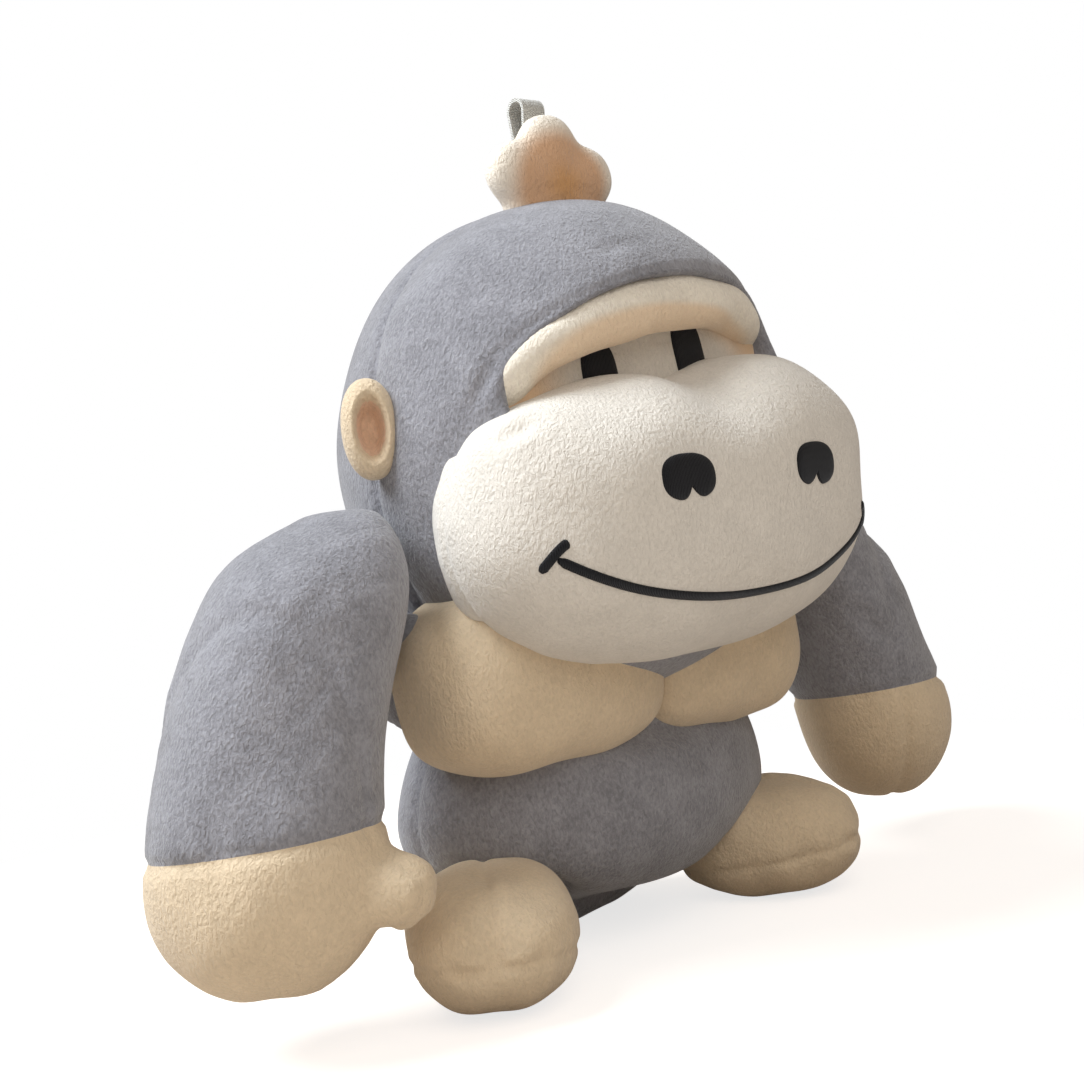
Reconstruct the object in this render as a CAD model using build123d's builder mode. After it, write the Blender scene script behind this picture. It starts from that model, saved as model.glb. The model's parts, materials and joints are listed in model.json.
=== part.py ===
from build123d import *
import os
from math import cos, radians, sin, sqrt

# Sitting plush gorilla, sewn from short pile fabric over soft filling.
# Frame: +Z is up, the toy faces -Y, its left side is +X and it sits on Z = 0.
# Every left piece is made once and mirrored for the right side. Sizes are millimetres.

# ---- Fabric and clearances ----------------------------------------------------------
fabric = 2.0                # pile fabric with its backing
fill_gap = 0.3              # between a cover and the filling in it
body_gap = 0.3              # between bodies that turn on each other
thread_rise = 0.7           # height of the satin embroidery over the fabric
thread_gap = 0.1            # between the embroidery and the fabric under it

# ---- Head ---------------------------------------------------------------------------
head_centre = (0.0, -1.0, 176.0)
head_radii = (81.0, 81.0, 91.0)
crown_z = head_centre[2] + head_radii[2]
side_seam_y = 3.0           # the seam over the crown from ear to ear

# ---- Neck: the filling ends in a ball that the head turns on --------------------------
neck_centre = (0.0, 12.0, 97.0)
neck_radius = 29.0

# ---- Face -----------------------------------------------------------------------------
face_tilt = 8.0             # the filled head sits a little askew behind the muzzle
face_z = 199.0
face_y = -50.0              # front of the recessed face panel
face_half_width = 58.0
face_half_height = 24.0
brow_half_span = 60.0
brow_end = (-47.0, 197.0)   # Y and Z of the brow roll's ends
brow_top = (-59.0, 222.0)   # Y and Z of its middle
brow_tube = 7.5
eye_spacing = 21.0          # half of the distance between the eyes
eye_half_width = 8.8
eye_half_height = 13.0
eye_z = 203.0

# ---- Muzzle ---------------------------------------------------------------------------
muzzle_centre = (0.0, -39.0, 152.0)
muzzle_radii = (85.0, 52.0, 50.0)
muzzle_back_y = -18.0       # where the muzzle is sewn into the head
gusset_y = -36.0            # the seam between the front panel and the strip behind it
nostril_x = 28.6
nostril_z = 161.0
nostril_half_width = 10.3
nostril_half_height = 6.8
nostril_notch = 3.0
mouth_half_width = 72.0
mouth_end_z = 140.0
mouth_sag = 20.0
mouth_line = 3.2
mouth_tick = 12.0           # length of the stroke across each end of the mouth

# ---- Torso ----------------------------------------------------------------------------
torso_radius = 78.0
torso_depth_share = 0.62    # front to back, of the width
torso_y = 10.0
torso_upper_z = 50.0
torso_lower_z = 49.0
torso_top_z = 114.0
torso_bottom_z = 12.0       # of the belly
rump_centre = (0.0, 32.0, 27.0)
rump_radii = (52.0, 28.0, 29.0)     # the seat behind the belly, cut flat at Z = 0
yoke_radius = 22.0          # the shoulder width of the torso, to which the arms are sewn
yoke_y = 3.0
yoke_z = 108.0
yoke_half_length = 85.5
head_clearance = 3.5        # room for the nodding head

# ---- Chest pads -----------------------------------------------------------------------
chest_centre = (39.0, -13.0, 98.0)
chest_radii = (46.0, 30.0, 30.0)
chest_seam = 0.4            # half of the gap at the middle seam
nod_room = (-5.5, 0.0, 2.8, 5.5)    # degrees of nod for which the pads leave room

# ---- Arms -----------------------------------------------------------------------------
arm_top_z = 164.0
arm_bottom_z = 19.0         # the hands hang a little above the ground
arm_round_top = 34.0        # height of the rounded shoulder cap
arm_round_bottom = 45.0     # height of the rounded end of the hand
shoulder_x = 96.0
hand_x = 144.0
hand_y = -7.0
hand_z = 40.0
arm_bow = 1.9               # how the arm bends out between shoulder and hand
shoulder_half = 31.0        # half of the wide side at the shoulder
hand_half = 41.0            # half of the wide side at the hand
arm_flatness = 0.81         # narrow side of a section, of its wide side
toe_in = 31.6               # the hands turn in
cuff_z = 66.0
cuff_tilt = 6.0
shoulder_centre = (85.8, yoke_y, 122.0)     # on the seam where the arm turns
shoulder_stub_radius = 18.0
shoulder_stub_length = 26.0
thumb_centre = (117.0, -41.0, 49.0)
thumb_radius = 9.5

# ---- Feet -----------------------------------------------------------------------------
foot_centre = (69.0, -18.0, 22.6)
foot_radii = (28.0, 37.0, 23.2)
foot_splay = 34.0
foot_flat_z = 0.3
sole_seam_z = 16.0
sole_tilt = 8.0
hip_centre = (44.0, -4.0, 24.0)
hip_radius = 16.0
hip_clearance = 3.5         # room for the foot to bend

# ---- Ears, tuft and hanging loop ------------------------------------------------------
ear_centre = (87.0, -3.0, 189.0)
ear_radii = (12.0, 8.0, 20.0)
ear_turn = 28.0             # the ear's open side turns outward from straight ahead
ear_cup_radii = (7.5, 6.5, 15.0)
ear_cup_shift = 8.0         # how far the hollow of the ear sits toward its open side
ear_clearance = 1.0
tuft_y = -11.0
tuft_half_thickness = 4.5
tuft_tab_half_thickness = 1.5
tuft_clearance = 0.6
tuft_base_z = 268.5
tuft_lobe_radius = 10.5
tuft_lobe_x = 17.5
tuft_lobe_z = 277.0
tuft_peak_z = 284.5
ribbon_width = 10.0
ribbon_thickness = 1.2
loop_y = 1.0
loop_inner_radius = 3.6
loop_top_z = 306.0
loop_tab_height = 6.0


def ellipsoid(centre, radii, grow=0.0, turn=0.0):
    """A ball stretched to three radii, turned about the upright axis."""
    with BuildPart() as body:
        Sphere(1)
        scale(by=tuple(radius + grow for radius in radii))
    return body.part.moved(Location(centre, (0, 0, turn)))


def ball(centre, radius):
    with BuildPart() as body:
        with Locations(centre):
            Sphere(radius)
    return body.part


def belly_bulb(grow=0.0):
    """The belly turned about the upright axis: dome, straight side and rounded underside."""
    radius = torso_radius + grow
    top, upper, lower, bottom = torso_top_z, torso_upper_z, torso_lower_z, torso_bottom_z
    with BuildPart() as bag:
        with BuildSketch(Plane.XZ):
            with BuildLine():
                EllipticalCenterArc((0, upper), radius, top - upper + grow, start_angle=0, arc_size=90)
                Line((radius, lower), (radius, upper))
                EllipticalCenterArc((0, lower), radius, lower - bottom + grow, start_angle=270, arc_size=90)
                Line((0, top + grow), (0, bottom - grow))
            make_face()
        revolve(axis=Axis.Z)
    return bag.part


def head_bag(grow=0.0):
    return ellipsoid(head_centre, head_radii, grow)


def neck_ball(grow=0.0):
    return ball(neck_centre, neck_radius + grow)


def muzzle_bag(grow=0.0):
    """The muzzle's bag, cut flat where it is sewn into the head."""
    with BuildPart() as bag:
        add(ellipsoid(muzzle_centre, muzzle_radii, grow))
        split(bisect_by=Plane.XZ.offset(-muzzle_back_y - grow), keep=Keep.TOP)
    return bag.part


def above(height, size=700.0):
    """Everything above a level, to cut with."""
    with BuildPart() as block:
        with BuildSketch(Plane.XY.offset(height)):
            Rectangle(size, size)
        extrude(amount=size)
    return block.part


def torso_bag(grow=0.0):
    """The flattened belly and the shoulder yoke that crosses it, with a flat seat."""
    with BuildPart() as belly:
        add(belly_bulb(grow))
        scale(by=(1, torso_depth_share, 1))
    with BuildPart() as bag:
        add(belly.part.moved(Location((0, torso_y, 0))))
        add(ellipsoid(rump_centre, rump_radii, grow))
        with BuildSketch(Plane.YZ):
            with Locations((yoke_y, yoke_z)):
                Circle(yoke_radius + grow)
        extrude(amount=yoke_half_length + grow, both=True)
        add(head_bag(head_clearance - grow), mode=Mode.SUBTRACT)
        add(above(-min(grow, 0.0)), mode=Mode.INTERSECT)
    return bag.part


def face_plane():
    """The upright plane of the face panel, tilted with the head about its middle."""
    tilt = radians(face_tilt)
    origin = (-(face_z - head_centre[2]) * sin(tilt), face_y, face_z)
    return Plane(origin, x_dir=(cos(tilt), 0, sin(tilt)), z_dir=(0, -1, 0))


def face_recess(grow=0.0, depth=60.0, lift=0.0):
    """The oval hollow of the face, from its panel out to the front."""
    with BuildPart() as hollow:
        with BuildSketch(face_plane().offset(lift)):
            Ellipse(face_half_width + grow, face_half_height + grow)
        extrude(amount=depth)
    return hollow.part


def brow_arch(grow=0.0):
    """A padded roll along an arc over the face, with round ends."""
    tilt = radians(face_tilt)

    def place(x, y, z):
        height = z - head_centre[2]
        return (x * cos(tilt) - height * sin(tilt), y, head_centre[2] + x * sin(tilt) + height * cos(tilt))

    ends = [place(side * brow_half_span, *brow_end) for side in (-1, 1)]
    with BuildPart() as roll:
        with BuildLine() as route:
            ThreePointArc(ends[0], place(0, *brow_top), ends[1])
        with BuildSketch(Plane(route.line @ 0, z_dir=route.line % 0)):
            Circle(brow_tube + grow)
        sweep(path=route.line)
        with Locations(*ends):
            Sphere(brow_tube + grow)
    return roll.part


def head_cover():
    """The grey bag of the head with its neck opening and the hollow of the face."""
    with BuildPart() as cover:
        add(head_bag())
        add(head_bag(-fabric), mode=Mode.SUBTRACT)
        add(neck_ball(body_gap), mode=Mode.SUBTRACT)
        add(face_recess(), mode=Mode.SUBTRACT)
        add(brow_arch(fill_gap), mode=Mode.SUBTRACT)
        add(muzzle_bag(fill_gap), mode=Mode.SUBTRACT)
    return cover.part


def muzzle_skin():
    """The cream bag of the muzzle before it is cut to its seams."""
    with BuildPart() as skin:
        add(ellipsoid(muzzle_centre, muzzle_radii))
        add(ellipsoid(muzzle_centre, muzzle_radii, -fabric), mode=Mode.SUBTRACT)
    return skin.part


def on_muzzle(sketch_shape):
    """Satin embroidery: a flat shape laid on the front of the muzzle."""
    with BuildPart() as thread:
        extrude(sketch_shape, amount=120)
        add(muzzle_bag(thread_rise), mode=Mode.INTERSECT)
        add(muzzle_bag(thread_gap), mode=Mode.SUBTRACT)
    return thread.part


def muzzle_drawing_plane():
    return Plane((0, muzzle_centre[1], 0), x_dir=(1, 0, 0), z_dir=(0, -1, 0))


def arm_section(height, grow=0.0):
    """Centre and half widths of the arm's level section at one height."""
    rise = max(0.0, (height - hand_z) / (arm_top_z - hand_z))
    x = hand_x - (hand_x - shoulder_x) * rise ** arm_bow
    y = hand_y * (1 - rise)
    wide = hand_half - (hand_half - shoulder_half) * rise
    top_room = (arm_top_z - height) / arm_round_top
    bottom_room = (height - arm_bottom_z) / arm_round_bottom
    for room in (top_room, bottom_room):
        if room < 1:
            wide *= sqrt(1 - (1 - room) ** 2)
    return x, y, wide + grow, wide * arm_flatness + grow


def arm_bag(grow=0.0):
    """The arm and hand as one bag, cut flat where it is sewn to the shoulder."""
    low = arm_bottom_z + 0.9 - grow
    high = arm_top_z - 0.9 + grow
    steps = (0, 0.02, 0.07, 0.16, 0.28, 0.42, 0.57, 0.72, 0.85, 0.93, 0.98, 1)
    with BuildPart() as bag:
        for step in steps:
            height = low + (high - low) * step
            x, y, wide, narrow = arm_section(height, grow)
            level = Plane((x, y, height), x_dir=(-sin(radians(toe_in)), -cos(radians(toe_in)), 0))
            with BuildSketch(level):
                Ellipse(wide, narrow)
        loft()
        with BuildSketch(Plane.YZ.offset(shoulder_centre[0] - grow)):
            with Locations(shoulder_centre[1:]):
                Circle(shoulder_stub_radius + grow)
        extrude(amount=shoulder_stub_length)
        split(bisect_by=Plane.YZ.offset(yoke_half_length + body_gap - grow), keep=Keep.TOP)
    return bag.part


def cuff_plane():
    """Where the grey sleeve is sewn to the cream hand, a little higher in front."""
    return Plane((hand_x, hand_y, cuff_z), z_dir=(0, sin(radians(cuff_tilt)), cos(radians(cuff_tilt))))


def arm_seam_plane():
    """The upright plane of the long seams, with the outer panel on its positive side."""
    return Plane((hand_x, hand_y, 0), z_dir=(cos(radians(toe_in)), -sin(radians(toe_in)), 0))


def arm_panel(upper, outer):
    """One of the four panels of the arm's cover."""
    with BuildPart() as panel:
        add(arm_bag())
        add(arm_bag(-fabric), mode=Mode.SUBTRACT)
        split(bisect_by=cuff_plane(), keep=Keep.TOP if upper else Keep.BOTTOM)
        split(bisect_by=arm_seam_plane(), keep=Keep.TOP if outer else Keep.BOTTOM)
    return panel.part


def foot_bag(grow=0.0):
    """The foot's oval bag, flat underneath and open toward the hip."""
    with BuildPart() as bag:
        add(ellipsoid(foot_centre, foot_radii, grow, foot_splay))
        add(above(foot_flat_z - grow), mode=Mode.INTERSECT)
        add(torso_bag(hip_clearance), mode=Mode.SUBTRACT)
    return bag.part


def hip_ball(grow=0.0):
    return ball(hip_centre, hip_radius + grow)


def foot_shell():
    with BuildPart() as shell:
        add(foot_bag())
        add(ellipsoid(foot_centre, foot_radii, -fabric, foot_splay).intersect(above(foot_flat_z + fabric)),
            mode=Mode.SUBTRACT)
        add(hip_ball(), mode=Mode.SUBTRACT)
    return shell.part


def sole_plane():
    """The seam around the sole, which rises toward the toes."""
    splay, tilt = radians(foot_splay), radians(sole_tilt)
    return Plane((foot_centre[0], foot_centre[1], sole_seam_z),
                 z_dir=(-sin(splay) * sin(tilt), cos(splay) * sin(tilt), cos(tilt)))


def foot_seam_plane():
    """The upright plane of the foot's top seam, with the outer side positive."""
    return Plane(foot_centre, z_dir=(cos(radians(foot_splay)), sin(radians(foot_splay)), 0))


def tuft_outline(grow=0.0):
    """Three round lobes over a waist, drawn flat."""
    with BuildSketch(Plane((0, tuft_y, 0), x_dir=(1, 0, 0), z_dir=(0, -1, 0))) as outline:
        with Locations((-tuft_lobe_x, tuft_lobe_z + 2), (tuft_lobe_x, tuft_lobe_z), (0, tuft_peak_z)):
            Circle(tuft_lobe_radius + grow)
        with Locations((0, tuft_lobe_z - 1)):
            Rectangle(2 * tuft_lobe_x, 13 + 2 * grow)
    return outline.sketch


def tuft_face(direction):
    """Front or back cloth of the tuft, dished to hold its filling."""
    with BuildPart() as face:
        extrude(tuft_outline(), amount=direction * tuft_half_thickness)
        extrude(tuft_outline(-fabric), amount=direction * (tuft_half_thickness - fabric), mode=Mode.SUBTRACT)
        add(above(tuft_base_z), mode=Mode.INTERSECT)
    return face.part


# The finished pieces move along Y together, so that the origin is under the middle of the toy.
front_y = muzzle_centre[1] - muzzle_radii[1]
back_y = head_centre[1] + head_radii[1]
frame_shift = Location((0, -(front_y + back_y) / 2, 0))

os.makedirs("parts", exist_ok=True)


def finish(part, name):
    """Write a piece without the loose slivers that its cuts leave."""
    piece = part.solids().sort_by(SortBy.VOLUME)[-1].moved(frame_shift)
    piece.label = name
    export_step(piece, f"parts/{name}.step")


def finish_pair(part, name):
    """Write a left piece and its mirror image on the right."""
    finish(part, f"{name}_left")
    with BuildPart() as twin:
        mirror(part, about=Plane.YZ)
    finish(twin.part, f"{name}_right")


# ---- Torso ----------------------------------------------------------------------------
torso_seam = Plane.XZ.offset(-torso_y)

with BuildPart() as torso_cover:
    add(torso_bag())
    add(torso_bag(-fabric), mode=Mode.SUBTRACT)
    add(neck_ball(fill_gap), mode=Mode.SUBTRACT)
    for sign in (-1, 1):
        socket = hip_ball(body_gap) if sign > 0 else hip_ball(body_gap).mirror(Plane.YZ)
        add(socket, mode=Mode.SUBTRACT)

with BuildPart() as belly_panel:
    add(torso_cover.part)
    split(bisect_by=torso_seam, keep=Keep.TOP)
finish(belly_panel.part, "belly_panel")

with BuildPart() as back_panel:
    add(torso_cover.part)
    split(bisect_by=torso_seam, keep=Keep.BOTTOM)
finish(back_panel.part, "back_panel")

with BuildPart() as torso_stuffing:
    add(torso_bag(-fabric - fill_gap))
    add(neck_ball())
    for sign in (-1, 1):
        socket = hip_ball(body_gap) if sign > 0 else hip_ball(body_gap).mirror(Plane.YZ)
        add(socket, mode=Mode.SUBTRACT)
finish(torso_stuffing.part, "torso_stuffing")


# ---- Chest pads -----------------------------------------------------------------------
def nodding_muzzle():
    """The muzzle and head over the range of the nod, to shape the top of the chest pads."""
    swept = []
    for angle in nod_room:
        pivot = Axis(neck_centre, (1, 0, 0))
        swept.append(muzzle_bag(2 * body_gap).rotate(pivot, angle))
        swept.append(head_bag(2 * body_gap).rotate(pivot, angle))
    return swept


with BuildPart() as chest_pad:
    add(ellipsoid(chest_centre, chest_radii))
    add(ellipsoid(chest_centre, chest_radii, -fabric), mode=Mode.SUBTRACT)
    split(bisect_by=Plane.YZ.offset(chest_seam), keep=Keep.TOP)
    add(torso_bag(fill_gap), mode=Mode.SUBTRACT)
    add(neck_ball(fill_gap), mode=Mode.SUBTRACT)
    for shape in nodding_muzzle():
        add(shape, mode=Mode.SUBTRACT)
finish_pair(chest_pad.part, "chest_pad")

with BuildPart() as chest_stuffing:
    add(ellipsoid(chest_centre, chest_radii, -fabric - fill_gap))
    split(bisect_by=Plane.YZ.offset(chest_seam), keep=Keep.TOP)
    add(torso_bag(fill_gap), mode=Mode.SUBTRACT)
    add(neck_ball(fill_gap), mode=Mode.SUBTRACT)
    for shape in nodding_muzzle():
        add(shape, mode=Mode.SUBTRACT)
finish_pair(chest_stuffing.part, "chest_stuffing")

# ---- Head -----------------------------------------------------------------------------
head_seam = Plane.XZ.offset(-side_seam_y)

with BuildPart() as head_front_panel:
    add(head_cover())
    split(bisect_by=head_seam, keep=Keep.TOP)
finish(head_front_panel.part, "head_front_panel")

with BuildPart() as head_back_panel:
    add(head_cover())
    split(bisect_by=head_seam, keep=Keep.BOTTOM)
    split(bisect_by=Plane.YZ, keep=Keep.TOP)
finish_pair(head_back_panel.part, "head_back_panel")

with BuildPart() as head_stuffing:
    add(head_bag(-fabric - fill_gap))
    add(neck_ball(body_gap), mode=Mode.SUBTRACT)
    add(face_recess(fill_gap, lift=-fabric - fill_gap), mode=Mode.SUBTRACT)
    add(brow_arch(fill_gap), mode=Mode.SUBTRACT)
    add(muzzle_bag(fill_gap), mode=Mode.SUBTRACT)
finish(head_stuffing.part, "head_stuffing")

with BuildPart() as face_panel:
    add(face_recess(-fill_gap, depth=fabric, lift=-fabric))
    add(brow_arch(fill_gap), mode=Mode.SUBTRACT)
    add(muzzle_bag(fill_gap), mode=Mode.SUBTRACT)
finish(face_panel.part, "face_panel")

with BuildPart() as brow_roll:
    add(brow_arch())
    add(muzzle_bag(fill_gap), mode=Mode.SUBTRACT)
finish(brow_roll.part, "brow_roll")

for side, sign in (("left", 1), ("right", -1)):
    with BuildPart() as eye:
        with BuildSketch(face_plane().offset(thread_gap)):
            with Locations((sign * eye_spacing, eye_z - face_z)):
                Ellipse(eye_half_width, eye_half_height)
        extrude(amount=thread_rise)
        add(brow_arch(fill_gap), mode=Mode.SUBTRACT)
        add(muzzle_bag(fill_gap), mode=Mode.SUBTRACT)
    finish(eye.part, f"eye_{side}")

# ---- Muzzle ---------------------------------------------------------------------------
muzzle_seam = Plane.XZ.offset(-gusset_y)

with BuildPart() as muzzle_cover:
    add(muzzle_skin())
    split(bisect_by=muzzle_seam, keep=Keep.TOP)
finish(muzzle_cover.part, "muzzle_cover")

with BuildPart() as muzzle_gusset:
    add(muzzle_skin())
    split(bisect_by=muzzle_seam, keep=Keep.BOTTOM)
    split(bisect_by=Plane.XZ.offset(-muzzle_back_y), keep=Keep.TOP)
finish(muzzle_gusset.part, "muzzle_gusset")

with BuildPart() as muzzle_stuffing:
    add(muzzle_bag(-fabric - fill_gap))
finish(muzzle_stuffing.part, "muzzle_stuffing")

with BuildPart() as nostril:
    with BuildSketch(muzzle_drawing_plane()) as shape:
        with Locations((nostril_x, nostril_z)):
            Ellipse(nostril_half_width, nostril_half_height)
        with Locations((nostril_x - nostril_notch / 2, nostril_z - nostril_half_height)):
            Circle(nostril_notch, mode=Mode.SUBTRACT)
    add(on_muzzle(shape.sketch))
finish_pair(nostril.part, "nostril")

with BuildPart() as mouth_stitching:
    with BuildSketch(muzzle_drawing_plane()) as shape:
        with BuildLine() as smile:
            ThreePointArc((-mouth_half_width, mouth_end_z), (0, mouth_end_z - mouth_sag),
                          (mouth_half_width, mouth_end_z))
            offset(amount=mouth_line / 2)
        make_face()
        for sign in (-1, 1):
            with Locations(Location((sign * mouth_half_width, mouth_end_z + 1), sign * 125.0)):
                SlotOverall(mouth_tick, mouth_line)
    add(on_muzzle(shape.sketch))
finish(mouth_stitching.part, "mouth_stitching")

# ---- Arms -----------------------------------------------------------------------------
for upper, outer, name in ((True, True, "arm_outer_panel"), (True, False, "arm_inner_panel"),
                           (False, True, "hand_outer_panel"), (False, False, "hand_inner_panel")):
    finish_pair(arm_panel(upper, outer), name)

with BuildPart() as arm_stuffing:
    add(arm_bag(-fabric - fill_gap))
finish_pair(arm_stuffing.part, "arm_stuffing")

with BuildPart() as thumb:
    add(ball(thumb_centre, thumb_radius))
    add(arm_bag(fill_gap), mode=Mode.SUBTRACT)
finish_pair(thumb.part, "thumb")

# ---- Feet -----------------------------------------------------------------------------
foot_cover = foot_shell()

with BuildPart() as foot_sole:
    add(foot_cover)
    split(bisect_by=sole_plane(), keep=Keep.BOTTOM)
finish_pair(foot_sole.part, "foot_sole")

for keep, name in ((Keep.TOP, "foot_outer_panel"), (Keep.BOTTOM, "foot_inner_panel")):
    with BuildPart() as foot_top:
        add(foot_cover)
        split(bisect_by=sole_plane(), keep=Keep.TOP)
        split(bisect_by=foot_seam_plane(), keep=keep)
    finish_pair(foot_top.part, name)

with BuildPart() as foot_stuffing:
    add(ellipsoid(foot_centre, foot_radii, -fabric - fill_gap, foot_splay))
    add(above(foot_flat_z + fabric + fill_gap), mode=Mode.INTERSECT)
    add(torso_bag(hip_clearance), mode=Mode.SUBTRACT)
    add(hip_ball(-fill_gap))
finish_pair(foot_stuffing.part, "foot_stuffing")


# ---- Ears -----------------------------------------------------------------------------
ear_facing = (sin(radians(ear_turn)), -cos(radians(ear_turn)), 0)
ear_seam = Plane(ear_centre, z_dir=ear_facing)


def ear_bag():
    with BuildPart() as bag:
        add(ellipsoid(ear_centre, ear_radii, 0, ear_turn))
        add(head_bag(ear_clearance), mode=Mode.SUBTRACT)
    return bag.part


with BuildPart() as ear_back:
    add(ear_bag())
    split(bisect_by=ear_seam, keep=Keep.BOTTOM)
finish_pair(ear_back.part, "ear_back")

with BuildPart() as ear_lining:
    add(ear_bag())
    split(bisect_by=ear_seam, keep=Keep.TOP)
    hollow_centre = Vector(ear_centre) + Vector(ear_facing) * ear_cup_shift
    add(ellipsoid(tuple(hollow_centre), ear_cup_radii, 0, ear_turn), mode=Mode.SUBTRACT)
finish_pair(ear_lining.part, "ear_lining")

# ---- Tuft on the crown ----------------------------------------------------------------
with BuildPart() as tuft_front:
    add(tuft_face(1))
finish(tuft_front.part, "tuft_front")

with BuildPart() as tuft_back:
    add(tuft_face(-1))
finish(tuft_back.part, "tuft_back")

with BuildPart() as tuft_stuffing:
    filling = tuft_half_thickness - fabric - fill_gap
    extrude(tuft_outline(-fabric - fill_gap), amount=filling, both=True)
    add(above(tuft_base_z), mode=Mode.INTERSECT)
finish(tuft_stuffing.part, "tuft_stuffing")

with BuildPart() as tuft_tab:
    with BuildSketch(Plane((0, tuft_y, 0), x_dir=(1, 0, 0), z_dir=(0, -1, 0))):
        with Locations((0, tuft_base_z)):
            Rectangle(2 * tuft_lobe_x, 20, align=(Align.CENTER, Align.MAX))
    extrude(amount=tuft_tab_half_thickness, both=True)
    add(head_bag(tuft_clearance), mode=Mode.SUBTRACT)
finish(tuft_tab.part, "tuft_tab")

# ---- Hanging loop ---------------------------------------------------------------------
with BuildPart() as hanging_loop:
    outer_radius = loop_inner_radius + ribbon_thickness
    eye_z_top = loop_top_z - outer_radius
    knot_z = crown_z + loop_tab_height
    with BuildSketch(Plane.YZ):
        with Locations((loop_y, eye_z_top)):
            Circle(outer_radius)
        with BuildLine():
            Polyline((loop_y - outer_radius, eye_z_top), (loop_y + outer_radius, eye_z_top),
                     (loop_y + ribbon_thickness, knot_z), (loop_y + ribbon_thickness, crown_z - 5),
                     (loop_y - ribbon_thickness, crown_z - 5), (loop_y - ribbon_thickness, knot_z), close=True)
        make_face()
        with Locations((loop_y, eye_z_top)):
            Circle(loop_inner_radius, mode=Mode.SUBTRACT)
        with BuildLine():
            Polyline((loop_y - loop_inner_radius, eye_z_top), (loop_y + loop_inner_radius, eye_z_top),
                     (loop_y, knot_z + ribbon_thickness), close=True)
        make_face(mode=Mode.SUBTRACT)
    extrude(amount=ribbon_width / 2, both=True)
    add(head_bag(tuft_clearance), mode=Mode.SUBTRACT)
finish(hanging_loop.part, "hanging_loop")
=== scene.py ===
import json
from math import pi, radians

import bpy
import numpy as np
from bpy.props import FloatProperty, FloatVectorProperty, PointerProperty
from mathutils import Matrix, Vector
from mathutils.bvhtree import BVHTree

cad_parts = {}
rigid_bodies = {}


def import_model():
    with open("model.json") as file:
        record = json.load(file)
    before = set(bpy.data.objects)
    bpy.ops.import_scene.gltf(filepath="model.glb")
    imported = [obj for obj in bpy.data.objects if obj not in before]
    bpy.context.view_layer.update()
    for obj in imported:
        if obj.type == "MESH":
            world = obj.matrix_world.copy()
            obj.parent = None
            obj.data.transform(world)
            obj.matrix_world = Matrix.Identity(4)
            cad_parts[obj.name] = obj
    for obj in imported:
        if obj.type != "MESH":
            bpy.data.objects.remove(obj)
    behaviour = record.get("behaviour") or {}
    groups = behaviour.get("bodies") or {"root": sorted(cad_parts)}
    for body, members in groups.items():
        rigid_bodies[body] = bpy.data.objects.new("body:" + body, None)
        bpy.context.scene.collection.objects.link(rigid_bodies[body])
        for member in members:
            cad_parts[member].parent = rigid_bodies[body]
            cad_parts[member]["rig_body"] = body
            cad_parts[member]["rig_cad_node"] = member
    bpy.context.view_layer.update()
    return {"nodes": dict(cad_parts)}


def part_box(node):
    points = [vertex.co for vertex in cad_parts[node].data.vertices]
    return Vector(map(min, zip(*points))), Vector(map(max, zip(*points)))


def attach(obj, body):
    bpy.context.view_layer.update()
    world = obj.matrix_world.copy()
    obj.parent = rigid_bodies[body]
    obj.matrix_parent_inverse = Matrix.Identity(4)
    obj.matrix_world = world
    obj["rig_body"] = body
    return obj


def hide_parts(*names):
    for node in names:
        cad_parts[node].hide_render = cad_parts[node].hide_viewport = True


bl_info = {
    "name": "Plush gorilla",
    "version": (1, 0, 0),
    "blender": (4, 5, 0),
    "location": "3D View > Sidebar > Plush",
    "description": "Sews and fills the covers of a sitting plush gorilla around its packed frame",
    "category": "Object",
}

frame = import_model()

SIDES = (("left", 1), ("right", -1))

# The head's middle and half sizes, from its back panel: the widest place, the back and the crown.
HEAD_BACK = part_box("head_back_panel_left")[1]
HEAD_HALF = np.array((HEAD_BACK.x, HEAD_BACK.x, 0.091))
HEAD_MIDDLE = np.array((0.0, HEAD_BACK.y - HEAD_BACK.x, HEAD_BACK.z - HEAD_HALF[2]))
HEAD_PLUMP = np.array((1.022, 1.0, 1.0))     # the filling pushes the sides out
HEAD_POWER = 2.10
SIDE_SEAM_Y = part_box("head_back_panel_left")[0].y
FACE_TILT = radians(8)
FACE_PLANE_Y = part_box("eye_left")[1].y
FACE_RISE = 0.023                            # middle of the face over the head's middle
FACE_REACH = (0.0650, 0.0305)
FACE_MIDDLE = (0, FACE_PLANE_Y, HEAD_MIDDLE[2] + FACE_RISE)
MUZZLE_HALF = np.array((0.0860, 0.0530, 0.0505))
MUZZLE_MIDDLE = np.array((0.0, -0.0350, 0.1520))
GUSSET_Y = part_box("muzzle_gusset")[0].y
TORSO_SEAM_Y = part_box("belly_panel")[1].y
GROUND = 0.0003                              # the lowest place of a cover, a hair over the floor

CLOTH_FRAMES = 20
PUCKER_SIZE = 0.009
PUCKER_DEPTH = 0.0003
STITCH_RISE = 0.0009                         # how far embroidery stands off the cover
STITCH_SUNK = 0.0006                         # and how far its underside lies in it
LINE_HALF_WIDTH = 0.0016

WHITE = (1, 1, 1, 1)
# Painted shade: warm, darker tones mixed into the brow, the face panel and the middle of the tuft where
# shade falls
PAINTED_BROW_SHADE = (0.86, 0.58, 0.33, 1)
PAINTED_FACE_SHADE = (0.84, 0.55, 0.30, 1)
PAINTED_TUFT_SHADE_DEEP = (0.66, 0.33, 0.11, 1)
PAINTED_TUFT_SHADE_SOFT = (0.70, 0.41, 0.23, 1)


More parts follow.
